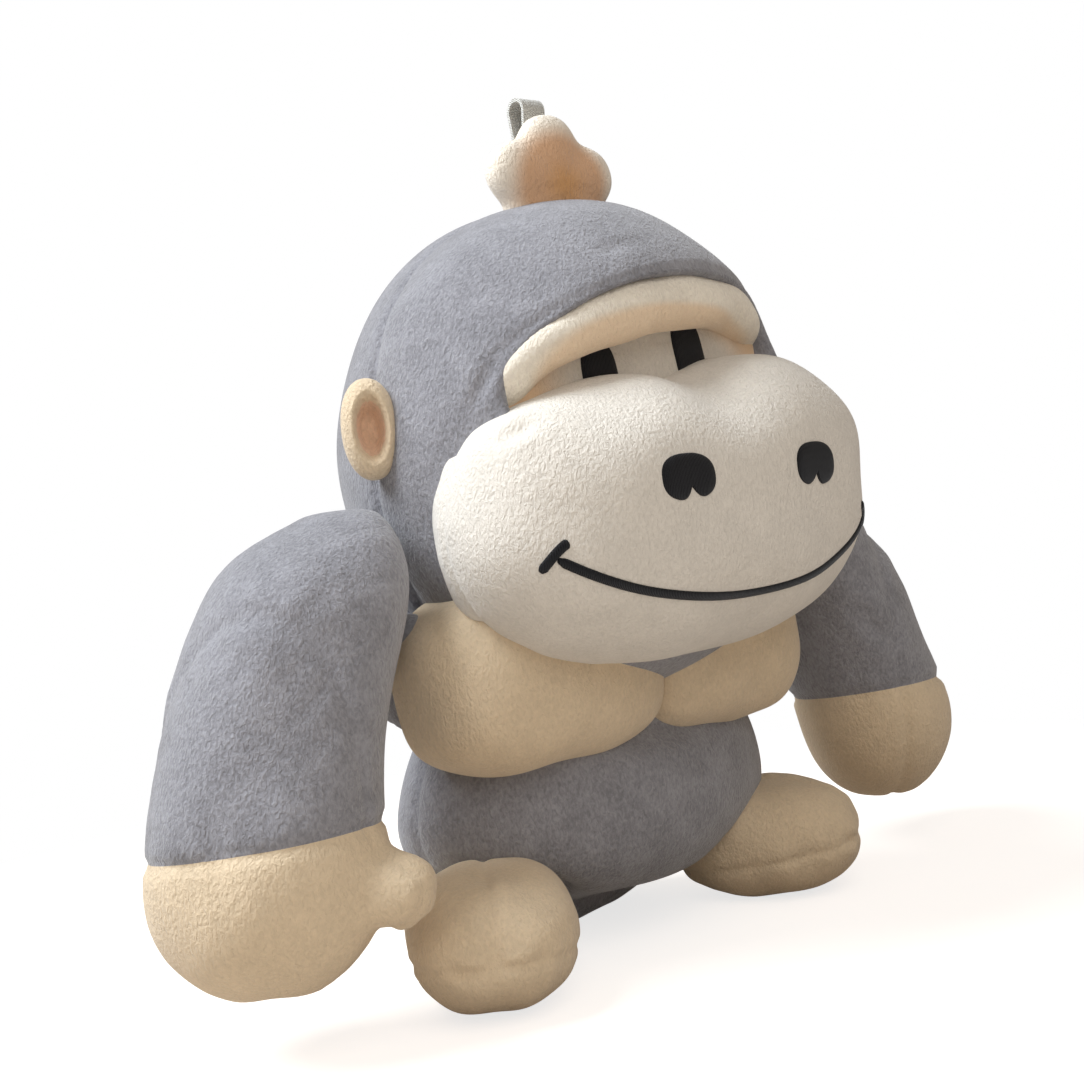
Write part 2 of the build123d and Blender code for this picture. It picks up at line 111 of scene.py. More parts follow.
# ---- Settings -------------------------------------------------------------------------
class FabricSettings(bpy.types.PropertyGroup):
    """Colours and pile of the fabrics"""

    grey: FloatVectorProperty(
        name="Grey pile", description="Colour of the grey fabric", subtype="COLOR",
        default=(0.305, 0.305, 0.335), min=0, max=1)
    cream: FloatVectorProperty(
        name="Cream pile", description="Colour of the cream fabric", subtype="COLOR",
        default=(0.76, 0.615, 0.435), min=0, max=1)
    brow: FloatVectorProperty(
        name="Brow pile", description="Colour of the brow roll and the rim of the tuft", subtype="COLOR",
        default=(0.94, 0.86, 0.74), min=0, max=1)
    muzzle: FloatVectorProperty(
        name="Muzzle pile", description="Colour of the paler fabric of the muzzle", subtype="COLOR",
        default=(0.81, 0.765, 0.695), min=0, max=1)
    # The middle of the tuft is not drawn with this pile: it is painted shade in its own colours
    peach: FloatVectorProperty(
        name="Peach pile", description="Colour in the ears and the middle of the tuft", subtype="COLOR",
        default=(0.80, 0.56, 0.40), min=0, max=1)
    thread: FloatVectorProperty(
        name="Thread", description="Colour of the embroidery", subtype="COLOR",
        default=(0.0025, 0.0025, 0.0040), min=0, max=1)
    ribbon: FloatVectorProperty(
        name="Ribbon", description="Colour of the hanging loop", subtype="COLOR",
        default=(0.80, 0.80, 0.76), min=0, max=1)
    pile: FloatProperty(
        name="Pile", description="Width of one tuft of the pile", subtype="DISTANCE", unit="LENGTH",
        default=0.0011, min=0.0003, max=0.005)


class SewingSettings(bpy.types.PropertyGroup):
    """Seams, cover and filling"""

    seam_depth: FloatProperty(
        name="Seam depth", description="How far a seam pulls the cover in", subtype="DISTANCE",
        unit="LENGTH", default=0.0016, min=0, max=0.01)
    seam_width: FloatProperty(
        name="Seam width", description="Half width of the fold along a seam", subtype="DISTANCE",
        unit="LENGTH", default=0.0019, min=0.0005, max=0.01)
    cover: FloatProperty(
        name="Cover", description="From the filling to the outside of the cover", subtype="DISTANCE",
        unit="LENGTH", default=0.0023, min=0, max=0.01)
    voxel: FloatProperty(
        name="Remesh size", description="Size of the cloth's faces before it is filled",
        subtype="DISTANCE", unit="LENGTH", default=0.004, min=0.001, max=0.02)
    puff: FloatProperty(
        name="Puff", description="How far the filling may push the cover out", subtype="DISTANCE",
        unit="LENGTH", default=0.0035, min=0, max=0.02)
    pressure: FloatProperty(
        name="Pressure", description="How hard the filling presses on the cover", default=4.0,
        min=0, max=50)


class StudioSettings(bpy.types.PropertyGroup):
    """Camera"""

    camera_place: FloatVectorProperty(
        name="Camera", description="Place of the camera", subtype="XYZ", unit="LENGTH",
        default=(-0.344, -0.4035, 0.155))
    camera_turn: FloatProperty(
        name="Turn", description="Turn of the camera about the upright axis", subtype="ANGLE",
        default=radians(-38.7))
    camera_fall: FloatProperty(
        name="Fall", description="How far the camera looks down", subtype="ANGLE", default=radians(1.1))
    camera_roll: FloatProperty(
        name="Roll", description="Roll of the camera", subtype="ANGLE", default=radians(-6.6))
    lens: FloatProperty(
        name="Lens", description="Focal length on a 36 mm sensor", default=48.35, min=10, max=200)


# ---- Mesh helpers ---------------------------------------------------------------------
def choose(piece):
    """Make one object the only selected and active one."""
    bpy.ops.object.select_all(action="DESELECT")
    piece.select_set(True)
    bpy.context.view_layer.objects.active = piece


def points(piece, field="co"):
    flat = np.empty(len(piece.data.vertices) * 3)
    piece.data.vertices.foreach_get(field, flat)
    return flat.reshape(-1, 3)


def place_points(piece, places):
    piece.data.vertices.foreach_set("co", np.ascontiguousarray(places).ravel())
    piece.data.update()


def finish_modifier(piece, kind, **settings):
    choose(piece)
    modifier = piece.modifiers.new(kind.title(), kind)
    for name, value in settings.items():
        setattr(modifier, name, value)
    bpy.ops.object.modifier_apply(modifier=modifier.name)


def round_form(name, detail=7):
    """A round bag of radius 1 at the origin, fine enough to be shaped by its points."""
    bpy.ops.object.select_all(action="DESELECT")
    bpy.ops.mesh.primitive_ico_sphere_add(subdivisions=detail, radius=1.0)
    piece = bpy.context.object
    piece.name = piece.data.name = name
    return piece


def roll_form(name, segments, rings):
    """A round bag with its poles at the ends of Z, to be drawn out along a line."""
    bpy.ops.object.select_all(action="DESELECT")
    bpy.ops.mesh.primitive_uv_sphere_add(segments=segments, ring_count=rings, radius=1.0)
    piece = bpy.context.object
    piece.name = piece.data.name = name
    return piece


def fuller(directions, half, power):
    """Points of an ellipsoid, or with a power over 2 of a fuller and squarer one."""
    reach = (np.abs(directions / half) ** power).sum(1, keepdims=True) ** (-1 / power)
    return directions * reach


def step(value, low, high):
    """0 below low, 1 above high and smooth between."""
    share = np.clip((value - low) / (high - low), 0, 1)
    return share * share * (3 - 2 * share)


def waves(places, size, seed):
    """A smooth wandering value between about -1 and 1, from crossing waves."""
    dice = np.random.default_rng(seed)
    total = np.zeros(len(places))
    for _ in range(8):
        direction = dice.normal(size=3)
        pitch = 2 * pi / (size * dice.uniform(0.7, 1.5))
        total += np.sin(places @ direction / np.linalg.norm(direction) * pitch + dice.uniform(0, 2 * pi))
    return total / 2.8


def turn_z(places, angle):
    c, s = np.cos(angle), np.sin(angle)
    return places @ np.array(((c, s, 0), (-s, c, 0), (0, 0, 1)))


def sew(piece, through, across, seed, where=None, depth=1.0):
    """Pull the cover in along the seam where a plane cuts it, with small puckers beside it."""
    sewing = bpy.context.scene.gorilla_sewing
    across = np.array(across, float)
    across /= np.linalg.norm(across)
    co, out = points(piece), points(piece, "normal")
    distance = (co - np.array(through)) @ across
    fold = np.exp(-(distance / sewing.seam_width) ** 2)
    beside = np.exp(-(distance / (5 * sewing.seam_width)) ** 2)
    pucker = PUCKER_DEPTH * waves(co - distance[:, None] * across, PUCKER_SIZE, seed)
    push = -sewing.seam_depth * depth * (fold + 0.35 * beside) + pucker * beside * (1 - fold)
    if where is not None:
        push *= where(co)
    place_points(piece, co + out * push[:, None])


def crease(piece, start, end, depth, width):
    """A soft crease in the cover along the line between two places near it."""
    co, out = points(piece), points(piece, "normal")
    start, end = np.array(start), np.array(end)
    along = end - start
    share = np.clip((co - start) @ along / (along @ along), 0, 1)
    distance = np.linalg.norm(co - start - share[:, None] * along, axis=1)
    fade = np.sin(np.clip(share, 0.02, 0.98) * pi) ** 0.6
    push = -depth * fade * np.exp(-(distance / width) ** 2)
    push += 0.35 * depth * fade * np.exp(-((distance - 2.2 * width) / width) ** 2)
    place_points(piece, co + out * push[:, None])


def soften(piece, amount, size, seed):
    """The slight unevenness of loose filling under the cover."""
    co, out = points(piece), points(piece, "normal")
    place_points(piece, co + out * (amount * waves(co, size, seed))[:, None])


def bag_of(name, node):
    """The cloth bag around one filling: a copy of it, with its triangles joined up."""
    piece = frame["nodes"][node].copy()
    piece.data = frame["nodes"][node].data.copy()
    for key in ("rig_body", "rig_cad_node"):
        if key in piece:
            del piece[key]
    piece.parent = None
    piece.name = piece.data.name = name
    bpy.context.scene.collection.objects.link(piece)
    choose(piece)
    bpy.ops.object.mode_set(mode="EDIT")
    bpy.ops.mesh.select_all(action="SELECT")
    bpy.ops.mesh.remove_doubles(threshold=0.00002)
    bpy.ops.object.mode_set(mode="OBJECT")
    return piece


def even_mesh(piece, voxel):
    """Give the bag small even faces, so that it can puff out freely."""
    finish_modifier(piece, "REMESH", mode="VOXEL", voxel_size=voxel, use_smooth_shade=True)
    finish_modifier(piece, "SMOOTH", factor=0.5, iterations=6)


def fill(piece, held, reach):
    """Push the bag out from inside as cloth, held at its seams, by no more than reach."""
    before = points(piece)
    choose(piece)
    seams = piece.vertex_groups.new(name="seams")
    seams.add([int(index) for index in np.flatnonzero(held(before))], 1.0, "REPLACE")
    cloth = piece.modifiers.new("Filling", "CLOTH")
    cloth.settings.quality = 4
    cloth.settings.use_pressure = True
    cloth.settings.uniform_pressure_force = bpy.context.scene.gorilla_sewing.pressure
    cloth.settings.effector_weights.gravity = 0
    cloth.settings.vertex_group_mass = seams.name
    cloth.point_cache.frame_start = 1
    cloth.point_cache.frame_end = CLOTH_FRAMES
    for number in range(1, CLOTH_FRAMES + 1):
        bpy.context.scene.frame_set(number)
    bpy.ops.object.modifier_apply(modifier=cloth.name)
    bpy.context.scene.frame_set(1)
    moved = points(piece) - before
    length = np.maximum(np.linalg.norm(moved, axis=1), 1e-9)
    place_points(piece, before + moved * np.minimum(1, reach / length)[:, None])
    piece.vertex_groups.clear()


def grow(piece, amount):
    """Push the cover outwards all over."""
    place_points(piece, points(piece) + points(piece, "normal") * amount)


def complete(piece, body, nodes, material):
    """Smooth, finish and hand over one piece."""
    choose(piece)
    bpy.ops.object.shade_smooth()
    piece.data.materials.clear()
    piece.data.materials.append(material)
    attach(piece, body)
    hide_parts(*nodes)
    return piece


def surface_of(piece):
    piece.data.update()
    return BVHTree.FromPolygons([vertex.co for vertex in piece.data.vertices],
                                [face.vertices for face in piece.data.polygons])


def from_front(surface, x, z):
    """Place and outward direction of a surface, seen straight from the front."""
    place, normal, _, _ = surface.ray_cast(Vector((x, -0.3, z)), Vector((0, 1, 0)))
    if place is None:
        raise RuntimeError(f"there is no surface behind x {x:.3f}, z {z:.3f}")
    return np.array(place), np.array(normal)


def lay_on(surface, place, lift):
    """The nearest place on a surface, lifted off it."""
    near, normal, _, _ = surface.find_nearest(Vector(place))
    return np.array(near) + np.array(normal) * lift


def oval(angle, half, power):
    """Reach of an oval at an angle, or with a power over 2 of a squarer one."""
    return ((np.abs(np.cos(angle)) / half[0]) ** power
            + (np.abs(np.sin(angle)) / half[1]) ** power) ** (-1 / power)


def stitch_patch(name, surface, middle, edge):
    """A satin patch whose edge is given as a reach for each angle, laid on a surface."""
    patch = roll_form(name, 96, 28)
    ball = points(patch)
    share = np.clip(np.hypot(ball[:, 0], ball[:, 1]), 0, 1)
    angle = np.arctan2(ball[:, 1], ball[:, 0])
    reach = edge(angle) * share
    lift = np.where(ball[:, 2] >= 0, STITCH_RISE * (1 - share ** 6) ** 0.5, -STITCH_SUNK)
    places = []
    across, up = middle[0] + reach * np.cos(angle), middle[1] + reach * np.sin(angle)
    for x, z, height in zip(across, up, lift):
        place, normal = from_front(surface, x, z)
        places.append(place + normal * height)
    place_points(patch, np.array(places))
    return patch


def stitch_line(name, surface, line, rings):
    """A satin line laid on a surface. The line is a function of -1 to 1 that gives x and z."""
    cord = roll_form(name, 16, rings)
    ball = points(cord)
    along = np.arcsin(np.clip(ball[:, 2], -1, 1)) / (pi / 2)
    round_end = np.hypot(ball[:, 0], ball[:, 1])
    around = np.arctan2(ball[:, 1], ball[:, 0])
    slim = np.minimum(1, round_end * rings / 12) ** 0.5
    places = []
    for share, size, angle in zip(along, slim, around):
        here, out = from_front(surface, *line(share))
        ahead, _ = from_front(surface, *line(min(share + 0.01, 1.0)))
        behind, _ = from_front(surface, *line(max(share - 0.01, -1.0)))
        across = np.cross(out, ahead - behind)
        across /= np.linalg.norm(across)
        level = STITCH_RISE * np.sin(angle) * size if np.sin(angle) > 0 else -STITCH_SUNK
        aside = across * (LINE_HALF_WIDTH * np.cos(angle) * size)
        places.append(lay_on(surface, here + aside, level))
    place_points(cord, np.array(places))
    return cord


# ---- Shader maths ---------------------------------------------------------------------
class Wire:
    """An output of a material's nodes that adds, subtracts and multiplies as a number does."""

    def __init__(self, finish, socket):
        self.finish = finish
        self.socket = socket

    def maths(self, operation, first, second):
        return self.finish.node("ShaderNodeMath", {"operation": operation}, {0: first, 1: second})

    def __add__(self, other):
        return self.maths("ADD", self, other)

    __radd__ = __add__

    def __sub__(self, other):
        return self.maths("SUBTRACT", self, other)

    def __rsub__(self, other):
        return self.maths("SUBTRACT", other, self)

    def __mul__(self, other):
        return self.maths("MULTIPLY", self, other)

    __rmul__ = __mul__


class Finish:
    """One material and its nodes."""

    def __init__(self, name):
        self.material = bpy.data.materials.new(name)
        self.material.use_nodes = True
        self.tree = self.material.node_tree
        self.shader = self.tree.nodes["Principled BSDF"]

    def node(self, kind, settings=None, inputs=None, output=0):
        made = self.tree.nodes.new(kind)
        for name, value in (settings or {}).items():
            setattr(made, name, value)
        for name, value in (inputs or {}).items():
            self.feed(made.inputs[name], value)
        return Wire(self, made.outputs[output])

    def feed(self, socket, value):
        if isinstance(value, Wire):
            self.tree.links.new(value.socket, socket)
        else:
            socket.default_value = value

    def set(self, **values):
        for name, value in values.items():
            self.feed(self.shader.inputs[name.replace("_", " ")], value)

    def place(self):
        return self.node("ShaderNodeTexCoord", output="Object")

    def mapped(self, place, scale, turn):
        return self.node("ShaderNodeMapping", {}, {"Vector": place, "Rotation": turn, "Scale": scale})

    def noise(self, place, scale, detail=3.0, roughness=0.5, distortion=0.0):
        return self.node("ShaderNodeTexNoise", {}, {
            "Vector": place, "Scale": scale, "Detail": detail, "Roughness": roughness,
            "Distortion": distortion})

    def mix(self, share, first, second):
        made = self.tree.nodes.new("ShaderNodeMix")
        made.data_type = "RGBA"
        self.feed(made.inputs[0], share)
        self.feed(made.inputs[6], first)
        self.feed(made.inputs[7], second)
        return Wire(self, made.outputs[2])

    def limits(self, value, low, high):
        return self.node("ShaderNodeMapRange", {"interpolation_type": "SMOOTHSTEP"}, {
            "Value": value, "From Min": low, "From Max": high, "To Min": 0.0, "To Max": 1.0})

    def bump(self, height, distance, strength=1.0, normal=None):
        inputs = {"Height": height, "Distance": distance, "Strength": strength}
        if normal is not None:
            inputs["Normal"] = normal
        return self.node("ShaderNodeBump", {}, inputs)


def rgba(colour, gain=1.0):
    return tuple(min(1.0, channel * gain) for channel in colour) + (1.0,)


def plush(name, colour, flecks, sheen, painted_shade=None):
    """Short brushed pile: fine tufts that lean in patches, with a soft bright edge."""
    pile = bpy.context.scene.gorilla_fabric.pile
    finish = Finish(name)
    place = finish.place()
    leaning = finish.mapped(place, (1.0, 1.0, 0.62), (0.4, 0.2, 0.5))
    tufts = finish.noise(leaning, 1 / pile, 2.0, 0.6, 0.4)
    patches = finish.noise(place, 75.0, 4.0, 0.62, 0.6)
    broad = finish.noise(place, 22.0, 3.0, 0.5)
    deep = rgba(colour, 1 - 0.34 * flecks)
    pale = rgba(colour, 1 + 0.20 * flecks)
    share = tufts * 0.75 + patches * 0.55 + broad * 0.25 - 0.28
    tone = finish.mix(finish.limits(share, 0.18, 0.82), deep, pale)
    # painted shade: a caller may mix a warmer, darker tone into the pile where shade falls
    if painted_shade is not None:
        tone = painted_shade(finish, place, tone)
    nap = finish.bump(patches * 0.6 + broad * 0.4, 0.0020, 0.32)
    finish.set(Base_Color=tone, Roughness=0.95, Sheen_Weight=sheen, Sheen_Roughness=0.45,
               Specular_IOR_Level=0.12, Normal=finish.bump(tufts, 0.0011, 0.75, nap))
    return finish.material


def satin_thread(name, colour):
    """Satin stitches laid side by side, each a fine shining ridge."""
    finish = Finish(name)
    place = finish.place()
    stitches = finish.node("ShaderNodeTexWave", {"bands_direction": "X"}, {
        "Vector": place, "Scale": 560.0, "Distortion": 1.2, "Detail": 2.0, "Detail Scale": 2.0})
    wander = finish.noise(place, 350.0, 2.0)
    tone = finish.mix(stitches * 0.7 + wander * 0.3, rgba(colour, 0.5), rgba(colour, 2.6))
    finish.set(Base_Color=tone, Roughness=0.62 - 0.15 * stitches, Specular_IOR_Level=0.28,
               Sheen_Weight=0.03, Normal=finish.bump(stitches * 0.8 + wander * 0.4, 0.0004, 0.8))
    return finish.material


def woven_ribbon(name, colour):
    """A narrow woven ribbon of crossing threads."""
    finish = Finish(name)
    place = finish.place()
    warp = finish.node("ShaderNodeTexWave", {"bands_direction": "X"}, {
        "Vector": place, "Scale": 420.0, "Distortion": 0.6, "Detail": 1.0})
    weft = finish.node("ShaderNodeTexWave", {"bands_direction": "Z"}, {
        "Vector": place, "Scale": 520.0, "Distortion": 0.8, "Detail": 1.0})
    threads = warp * 0.6 + weft * 0.7
    tone = finish.mix(threads * 0.8, rgba(colour, 0.66), rgba(colour, 1.12))
    finish.set(Base_Color=tone, Roughness=0.72, Sheen_Weight=0.15, Specular_IOR_Level=0.3,
               Normal=finish.bump(threads, 0.0005, 0.9))
    return finish.material


def distance_from(finish, place, middle, scale):
    """How far a place is from a middle, with each axis scaled first."""
    moved = finish.node("ShaderNodeVectorMath", {"operation": "SUBTRACT"}, {0: place, 1: middle})
    sized = finish.node("ShaderNodeVectorMath", {"operation": "MULTIPLY"}, {0: moved, 1: scale})
    return finish.node("ShaderNodeVectorMath", {"operation": "LENGTH"}, {0: sized}, output="Value")


def once(name, make):
    """A material that is made the first time it is asked for."""
    return bpy.data.materials.get(name) or make(name)


def grey_plush():
    colour = bpy.context.scene.gorilla_fabric.grey
    return once("grey_pile", lambda name: plush(name, colour, flecks=1.0, sheen=0.42))


def cream_plush():
    colour = bpy.context.scene.gorilla_fabric.cream
    return once("cream_pile", lambda name: plush(name, colour, flecks=0.34, sheen=0.26))


def muzzle_plush():
    colour = bpy.context.scene.gorilla_fabric.muzzle
    return once("muzzle_pile", lambda name: plush(name, colour, flecks=0.30, sheen=0.26))


def black_thread():
    colour = bpy.context.scene.gorilla_fabric.thread
    return once("satin_thread", lambda name: satin_thread(name, colour))


# ---- Head -----------------------------------------------------------------------------
def on_face(u, y, h):
    """A place given across and up the tilted face, in the frame of the toy."""
    c, s = np.cos(FACE_TILT), np.sin(FACE_TILT)
    return np.stack([u * c - h * s, y, HEAD_MIDDLE[2] + u * s + h * c], axis=-1)


def to_face(places):
    """Across and up the tilted face, measured from the head's middle."""
    c, s = np.cos(FACE_TILT), np.sin(FACE_TILT)
    rise = places[:, 2] - HEAD_MIDDLE[2]
    return places[:, 0] * c + rise * s, -places[:, 0] * s + rise * c


class GORILLA_OT_head(bpy.types.Operator):
    """Sew the grey head from its front and back panels, hollowed for the face"""

    bl_idname = "gorilla.head"
    bl_label = "Head"

    def execute(self, context):
        head = round_form("head_cover")
        places = HEAD_MIDDLE + fuller(points(head), HEAD_HALF * HEAD_PLUMP, HEAD_POWER)
        across, rise = to_face(places)
        inside = np.hypot(across / FACE_REACH[0], (rise - FACE_RISE) / FACE_REACH[1])
        front = places[:, 1] < HEAD_MIDDLE[1]
        sunk = (1 - step(inside, 0.86, 1.0)) * front
        places[:, 1] += (FACE_PLANE_Y + 0.006 - places[:, 1]) * sunk
        lip = np.exp(-((inside - 1.03) / 0.05) ** 2) * front
        places[:, 1] += 0.0012 * lip
        place_points(head, places)
        sew(head, (0, SIDE_SEAM_Y, 0), (0, 1, 0), seed=3, depth=1.2)
        sew(head, (0, 0, 0), (1, 0, 0), seed=4,
            where=lambda co: step(co[:, 1], SIDE_SEAM_Y, SIDE_SEAM_Y + 0.006))
        soften(head, 0.0007, 0.05, 6)
        crease(head, (-0.030, -0.062, 0.222), (-0.063, -0.046, 0.196), 0.0009, 0.0024)
        crease(head, (-0.028, -0.052, 0.238), (-0.004, -0.055, 0.243), 0.0006, 0.0024)
        crease(head, (-0.071, -0.035, 0.190), (-0.066, -0.043, 0.205), 0.0008, 0.0020)
        complete(head, "head", ["head_front_panel", "head_back_panel_left", "head_back_panel_right",
                                "head_stuffing"], grey_plush())
        return {"FINISHED"}


EYE_HALF = (0.0074, 0.0138)
EYE_RISE = 0.0250
EYE_DROP = {1: 0, -1: 0.0022}               # the right eye sits a little lower


class GORILLA_OT_face(bpy.types.Operator):
    """Lay the face panel in its hollow, roll the brow over it and stitch the eyes"""

    bl_idname = "gorilla.face"
    bl_label = "Brow, face and eyes"

    def execute(self, context):
        panel = round_form("face_panel_cover", 6)
        ball = points(panel)
        across, rise = ball[:, 0] * 0.064, FACE_RISE + ball[:, 2] * 0.031
        depth = FACE_PLANE_Y + 0.0012 + 1.1 * across ** 2 + ball[:, 1] * 0.003
        edge = np.hypot(ball[:, 0], ball[:, 2])
        depth += 0.0006 * np.sin(across * 420) * step(edge, 0.6, 0.95)
        place_points(panel, on_face(across, depth, rise))
        complete(panel, "head", ["face_panel"], face_finish())

        brow = roll_form("brow_cover", 40, 160)
        ball = points(brow)
        along = np.arcsin(np.clip(ball[:, 2], -1, 1)) / (pi / 2)
        around = np.arctan2(ball[:, 1], ball[:, 0])
        sweep = along * radians(112)
        slim = np.minimum(1, np.hypot(ball[:, 0], ball[:, 1]) * 6) ** 0.6
        slim *= 0.52 + 0.48 * np.cos(sweep * 0.8)
        reach = np.cos(around) * 0.0098 * slim
        width, height = 0.0572 + reach, 0.0222 + reach
        forward = np.sin(around) * 0.0085 * slim
        centre_y = -0.0535 + 0.0190 * (1 - np.cos(sweep))
        place_points(brow, on_face(np.sin(sweep) * width, centre_y - forward,
                                   FACE_RISE - 0.001 + np.cos(sweep) * height))
        soften(brow, 0.0004, 0.02, 8)
        complete(brow, "head", ["brow_roll"], brow_finish())
        fix_normals(brow)

        surface = surface_of(panel)
        for side, sign in SIDES:
            low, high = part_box(f"eye_{side}")
            level = on_face(sign * 0.021, 0, EYE_RISE)[2] - EYE_DROP[sign]
            lean = FACE_TILT + radians(2 * sign)
            eye = stitch_patch(f"eye_{side}_stitching", surface, ((low.x + high.x) / 2, level),
                               lambda angle, lean=lean: oval(angle - lean, EYE_HALF, 3.0))
            complete(eye, "head", [f"eye_{side}"], black_thread())
        return {"FINISHED"}


def fix_normals(piece):
    """Turn every face outwards."""
    choose(piece)
    bpy.ops.object.mode_set(mode="EDIT")
    bpy.ops.mesh.select_all(action="SELECT")
    bpy.ops.mesh.normals_make_consistent(inside=False)
    bpy.ops.object.mode_set(mode="OBJECT")


def brow_finish():
    """Cream pile with painted shade: a warmer tone painted where the roll turns in to the face."""
    colour = bpy.context.scene.gorilla_fabric.brow

    def painted_shade(finish, place, tone):
        reach = distance_from(finish, place, FACE_MIDDLE, (1 / 0.052, 0.0, 1 / 0.0195))
        # painted shade: a warm tone on the inner side of the roll, next to the face
        return finish.mix((1 - finish.limits(reach, 0.95, 1.12)) * 0.55, tone, PAINTED_BROW_SHADE)

    return once("brow_pile_painted_shade", lambda name: plush(name, colour, flecks=0.42, sheen=0.30, painted_shade=painted_shade))


def face_finish():
    """Pale pile of the face panel, with warm painted shade towards its rim under the brow."""
    colour = bpy.context.scene.gorilla_fabric.muzzle

    def painted_shade(finish, place, tone):
        reach = distance_from(finish, place, FACE_MIDDLE, (1 / 0.056, 0.0, 1 / 0.024))
        # painted shade: warmer towards the rim of the panel, in the hollow under the brow
        return finish.mix(finish.limits(reach, 0.62, 1.0) * 0.75, tone, PAINTED_FACE_SHADE)

    return once("face_pile_painted_shade", lambda name: plush(name, colour, flecks=0.3, sheen=0.25, painted_shade=painted_shade))


# ---- Muzzle ---------------------------------------------------------------------------
NOSTRIL_HALF = (0.0103, 0.0073)
NOSTRIL_PLACE = (0.0286, 0.1612)
SMILE_SWEEP = radians(60)
SMILE_REACH = {1: 0.0665, -1: 0.0715}
SMILE_LEVEL = 0.1412
SMILE_SAG = 0.0190
TICK_LEAN = radians(50)
TICK_HALF = 0.0054
TICK_LEVEL = 0.1416
TICK_BOW = 0.0012


class GORILLA_OT_muzzle(bpy.types.Operator):
    """Fill the muzzle and stitch the nostrils and the smile on it"""

    bl_idname = "gorilla.muzzle"
    bl_label = "Muzzle"

    def execute(self, context):
        muzzle = round_form("muzzle_bag")
        ball = points(muzzle)
        power = 2.35 + 0.45 * step(ball[:, :1], -0.2, 0.7) * step(ball[:, 2:], -0.25, 0.35)
        places = fuller(ball, MUZZLE_HALF, power)
        places[:, 0] *= 1 - 0.10 * step(places[:, 1], -0.005, 0.040)
        upper = step(places[:, 2], 0.0, 0.045)
        lobes = 0.0028 * np.exp(-((places[:, 0] - 0.042) / 0.026) ** 2)
        lobes -= 0.0030 * np.exp(-((places[:, 0] + 0.037) / 0.026) ** 2)
        dip = 0.0055 * np.exp(-(places[:, 0] / 0.015) ** 2)
        places[:, 2] += upper * (lobes - dip)
        places += MUZZLE_MIDDLE
        place_points(muzzle, places)
        sew(muzzle, (0, GUSSET_Y, 0), (0, 1, 0), seed=11, depth=0.8)
        soften(muzzle, 0.0007, 0.04, 12)
        crease(muzzle, (-0.074, -0.052, 0.178), (-0.066, -0.060, 0.183), 0.0016, 0.0028)
        complete(muzzle, "head", ["muzzle_cover", "muzzle_gusset", "muzzle_stuffing"],
                 muzzle_plush())

        surface = surface_of(muzzle)
        for side, sign in SIDES:
            def kidney(angle, sign=sign):
                from_notch = np.angle(np.exp(1j * (angle + pi / 2 + sign * 0.12)))
                notch = 1 - 0.56 * np.exp(-(from_notch / 0.30) ** 2)
                return oval(angle, NOSTRIL_HALF, 2.5) * notch

            place = (sign * NOSTRIL_PLACE[0], NOSTRIL_PLACE[1])
            nostril = stitch_patch(f"nostril_{side}_stitching", surface, place, kidney)
            complete(nostril, "head", [f"nostril_{side}"], black_thread())

        mouth = [stitch_line("mouth_stitches", surface, smile, 160)]
        for side, sign in SIDES:
            mouth.append(stitch_line(f"mouth_end_{side}", surface, cheek_tick(sign), 40))
        choose(mouth[0])
        for piece in mouth[1:]:
            piece.select_set(True)
        bpy.ops.object.join()
        complete(mouth[0], "head", ["mouth_stitching"], black_thread())
        return {"FINISHED"}


def smile(share):
    """Across and up on the muzzle, from one end of the smile at -1 to the other at 1."""
    angle = share * SMILE_SWEEP
    reach = SMILE_REACH[-1 if share < 0 else 1]
    sag = (np.cos(angle) - np.cos(SMILE_SWEEP)) / (1 - np.cos(SMILE_SWEEP))
    return reach * np.sin(angle) / np.sin(SMILE_SWEEP), SMILE_LEVEL - SMILE_SAG * sag


def cheek_tick(sign):
    """The short stroke across one end of the smile."""
    def line(share):
        reach = TICK_HALF * share
        across = SMILE_REACH[sign] - reach * np.cos(TICK_LEAN)
        return sign * across, TICK_LEVEL + reach * np.sin(TICK_LEAN) + TICK_BOW * (1 - share ** 2)
    return line


# ---- Torso and chest ------------------------------------------------------------------
CHEST_Y = -0.0240                            # the torso's front under the chest pads
NECK_Y = -0.0060                             # and under their tops
LAP_LIFT = 0.0085                            # the belly's front stands off the floor
PAD_HALF = {1: (0.0432, 0.0370, 0.0322), -1: (0.0490, 0.0370, 0.0322)}
PAD_MIDDLE = {1: (0.0368, -0.0040, 0.1015), -1: (-0.0385, -0.0040, 0.1015)}
PAD_LIFT = 0.0070                            # their inner tops rise to the muzzle
PAD_BACK_Y = 0.0040                          # they are flat behind this


class GORILLA_OT_torso(bpy.types.Operator):
    """Fill the belly and back, sewn together at the sides"""

    bl_idname = "gorilla.torso"
    bl_label = "Torso"

    def execute(self, context):
        sewing = context.scene.gorilla_sewing
        torso = bag_of("torso_cover", "torso_stuffing")
        even_mesh(torso, sewing.voxel)
        fill(torso, lambda co: (np.abs(co[:, 1] - TORSO_SEAM_Y) < 0.003) | (co[:, 2] < 0.008),
             sewing.puff)
        grow(torso, sewing.cover)
        finish_modifier(torso, "SUBSURF", levels=1, render_levels=1)
        places = points(torso)
        places[:, 2] = np.maximum(places[:, 2], GROUND)
        chest = step(places[:, 2], 0.066, 0.080) * (places[:, 1] < CHEST_Y)
        places[:, 1] += (CHEST_Y - places[:, 1]) * chest
        neck = step(places[:, 2], 0.096, 0.112) * (places[:, 1] < NECK_Y)
        places[:, 1] += (NECK_Y - places[:, 1]) * neck
        lap = (1 - step(places[:, 2], 0.0, 0.024)) * (1 - step(places[:, 1], -0.020, 0.025))
        places[:, 2] += LAP_LIFT * lap
        place_points(torso, places)
        sew(torso, (0, TORSO_SEAM_Y, 0), (0, 1, 0), seed=21)
        soften(torso, 0.0008, 0.045, 22)
        complete(torso, "torso", ["belly_panel", "back_panel", "torso_stuffing"],
                 grey_plush())
        return {"FINISHED"}


